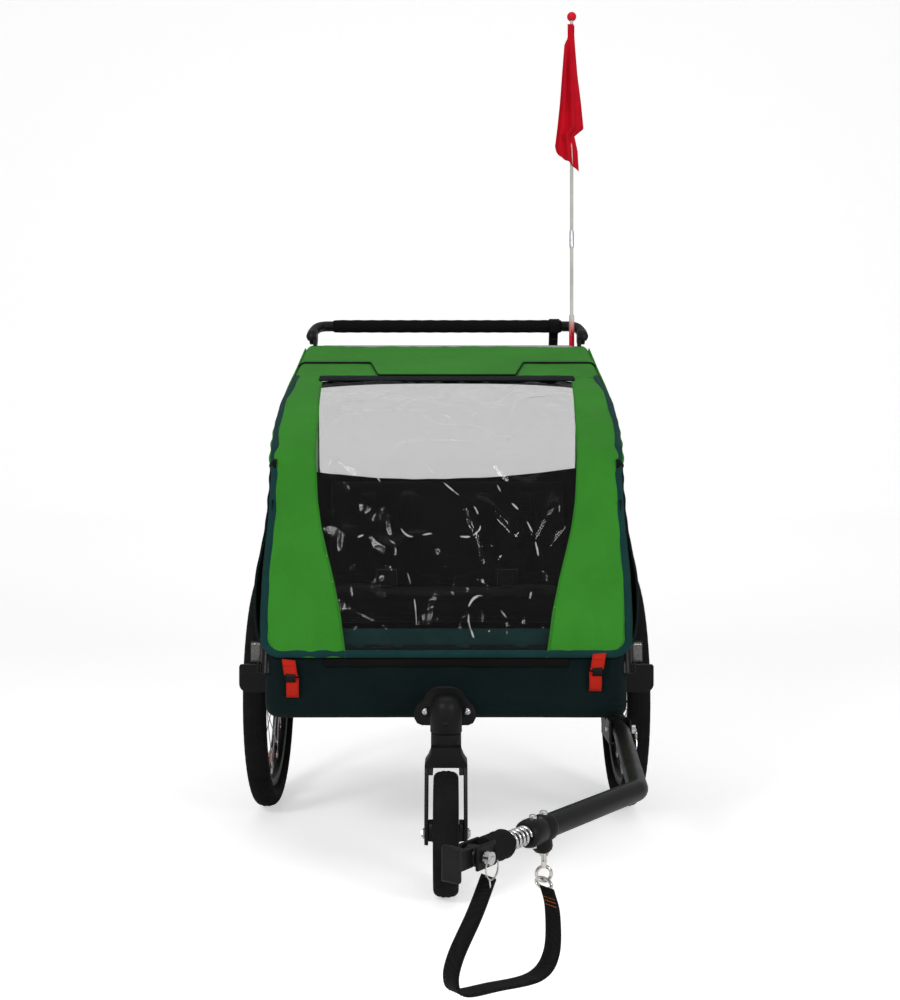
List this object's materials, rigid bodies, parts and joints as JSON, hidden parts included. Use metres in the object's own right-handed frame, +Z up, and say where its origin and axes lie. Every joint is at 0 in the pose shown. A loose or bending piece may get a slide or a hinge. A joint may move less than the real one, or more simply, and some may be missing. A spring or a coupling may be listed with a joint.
{
  "type": "child bicycle trailer",
  "caption": "Child bicycle trailer with folding fabric cabin, spoked rear wheels, swivelling front wheel, sprung tow bar, push handle and safety flag.",
  "frame": {"origin": "on the ground, under the middle of the bounding box of the whole trailer with its tow bar", "axes": "+Z up, -Y towards the towing bicycle, +X towards the trailer's left side (the tow bar's side)"},
  "size_m": [0.8, 1.7855, 1.799],
  "materials": {
    "frame_aluminium": "satin anodised",
    "black_powder_coat": "satin powder coat",
    "black_plastic": "fine matt texture",
    "bright_steel": "plated",
    "tyre_rubber": "matt",
    "foam": "closed-cell foam",
    "green_fabric": "coated plain weave",
    "dark_fabric": "coated plain weave",
    "seat_fabric": "padded weave",
    "webbing": "narrow woven webbing",
    "clear_vinyl": "clear, wrinkled",
    "flag_red": "thin coated fabric",
    "pole_fibreglass": "drawn fibreglass",
    "reflector_grey": "moulded prism lens"
  },
  "bodies": {
    "chassis": {"base_frame": "frame_aluminium", "axle_beam": "frame_aluminium", "tub_shell": "dark_fabric", "floor_board": "black_plastic", "seat_cushion": "seat_fabric", "seat_back": "seat_fabric", "harness_left": "webbing", "harness_right": "webbing", "wheel_guard_left": "black_plastic", "wheel_guard_right": "black_plastic", "front_reflector_left": "reflector_grey", "front_reflector_right": "reflector_grey", "swivel_bracket": "black_plastic", "bracket_bolt_left": "bright_steel", "bracket_bolt_right": "bright_steel", "tow_receiver": "black_powder_coat", "rear_hinge_left": "bright_steel", "rear_hinge_right": "bright_steel", "front_hinge_left": "bright_steel", "front_hinge_right": "bright_steel", "side_panel_left": "green_fabric", "side_panel_right": "green_fabric", "roof_cover": "green_fabric", "rear_panel": "green_fabric", "rear_window": "clear_vinyl"},
    "rear_frame": {"rear_hoop": "frame_aluminium", "handle_hub_left": "black_plastic", "handle_hub_right": "black_plastic", "flag_socket": "black_plastic"},
    "roof_frame": {"roof_frame": "frame_aluminium"},
    "front_frame": {"front_upright_left": "frame_aluminium", "front_upright_right": "frame_aluminium"},
    "handlebar": {"handlebar": "black_powder_coat", "foam_grip": "foam", "wrist_strap": "webbing"},
    "left_button": {"handle_button_left": "black_plastic"},
    "right_button": {"handle_button_right": "black_plastic"},
    "flag": {"flag_pole": "pole_fibreglass", "flag_pennant": "flag_red"},
    "front_cover": {"front_cover": "green_fabric", "front_window": "clear_vinyl"},
    "left_wheel": {"left_tyre": "tyre_rubber", "left_rim": "black_powder_coat", "left_hub": "bright_steel"},
    "right_wheel": {"right_tyre": "tyre_rubber", "right_rim": "black_powder_coat", "right_hub": "bright_steel"},
    "fork": {"front_fork": "black_plastic"},
    "front_wheel": {"front_tyre": "tyre_rubber", "front_wheel_core": "black_plastic"},
    "drawbar": {"drawbar": "black_powder_coat", "coupling_sleeve": "black_plastic", "hitch_spring": "bright_steel", "safety_strap": "webbing", "snap_hook": "bright_steel"},
    "receiver_pin": {"receiver_pin": "bright_steel"},
    "hitch_yoke": {"hitch_yoke": "black_plastic"},
    "hitch_plate": {"hitch_plate": "bright_steel"},
    "hitch_pin": {"hitch_pin": "bright_steel"},
    "snap_trigger": {"snap_trigger": "bright_steel"}
  },
  "joints": [
    {"name": "frame_fold", "type": "hinge", "parent": "chassis", "child": "rear_frame", "pos_m": [0, 0.8427, 0.345], "axis": [1, 0, 0], "range_deg": [0, 82], "deforming": ["roof_cover", "side_panel_left", "side_panel_right", "rear_panel", "rear_window", "seat_cushion", "seat_back", "harness_left", "harness_right", "front_cover", "front_window"]},
    {"name": "roof_fold", "type": "hinge", "parent": "rear_frame", "child": "roof_frame", "pos_m": [0, 0.7973, 0.945], "axis": [1, 0, 0], "range_deg": [0, 90]},
    {"name": "front_upright_fold", "type": "hinge", "parent": "chassis", "child": "front_frame", "pos_m": [0, 0.0457, 0.345], "axis": [1, 0, 0], "range_deg": [-75, 0]},
    {"name": "front_cover_open", "type": "hinge", "parent": "chassis", "child": "front_cover", "pos_m": [0, 0.5277, 0.905], "axis": [1, 0, 0], "range_deg": [-120, 0]},
    {"name": "handlebar_tilt", "type": "hinge", "parent": "rear_frame", "child": "handlebar", "pos_m": [0, 0.8057, 1.026], "axis": [1, 0, 0], "range_deg": [-75, 25], "deforming": ["wrist_strap"]},
    {"name": "left_button_press", "type": "slide", "parent": "handlebar", "child": "left_button", "axis": [-1, 0, 0], "range_m": [0, 0.004], "stiffness_N_per_m": 600, "springref_m": -0.002},
    {"name": "right_button_press", "type": "slide", "parent": "handlebar", "child": "right_button", "axis": [1, 0, 0], "range_m": [0, 0.004], "stiffness_N_per_m": 600, "springref_m": -0.002},
    {"name": "flag_lift", "type": "slide", "parent": "rear_frame", "child": "flag", "axis": [0, 0, 1], "range_m": [0, 0.1]},
    {"name": "left_wheel_spin", "type": "hinge", "parent": "chassis", "child": "left_wheel", "pos_m": [0.376, 0.4977, 0.25], "axis": [1, 0, 0], "continuous": true},
    {"name": "right_wheel_spin", "type": "hinge", "parent": "chassis", "child": "right_wheel", "pos_m": [-0.376, 0.4977, 0.25], "axis": [1, 0, 0], "continuous": true},
    {"name": "fork_swivel", "type": "hinge", "parent": "chassis", "child": "fork", "pos_m": [0, -0.0923, 0.25], "axis": [0, 0, 1], "continuous": true},
    {"name": "front_wheel_spin", "type": "hinge", "parent": "fork", "child": "front_wheel", "pos_m": [0, -0.1423, 0.1], "axis": [1, 0, 0], "continuous": true},
    {"name": "drawbar_swing", "type": "hinge", "parent": "chassis", "child": "drawbar", "pos_m": [0.3, -0.0023, 0.245], "axis": [1, 0, 0], "range_deg": [-75, 0]},
    {"name": "receiver_pin_pull", "type": "slide", "parent": "chassis", "child": "receiver_pin", "axis": [1, 0, 0], "range_m": [0, 0.045]},
    {"name": "hitch_yaw", "type": "hinge", "parent": "drawbar", "child": "hitch_yoke", "pos_m": [0.08228, -0.7326, 0.245], "axis": [0, 0, 1], "range_deg": [-45, 45]},
    {"name": "hitch_pitch", "type": "hinge", "parent": "hitch_yoke", "child": "hitch_plate", "pos_m": [0.03325, -0.80203, 0.245], "axis": [0.8168, -0.5769, 0], "range_deg": [-30, 30]},
    {"name": "hitch_pin_pull", "type": "slide", "parent": "hitch_yoke", "child": "hitch_pin", "axis": [0.8168, -0.5769, 0], "range_m": [0, 0.045]},
    {"name": "snap_trigger_slide", "type": "slide", "parent": "drawbar", "child": "snap_trigger", "axis": [0, 0, -1], "range_m": [0, 0.004], "stiffness_N_per_m": 300, "springref_m": -0.002}
  ],
  "couplings": [
    {"joint": "roof_fold", "follows": "frame_fold", "ratio": 1.0744},
    {"joint": "front_upright_fold", "follows": "frame_fold", "ratio": -0.89024}
  ]
}
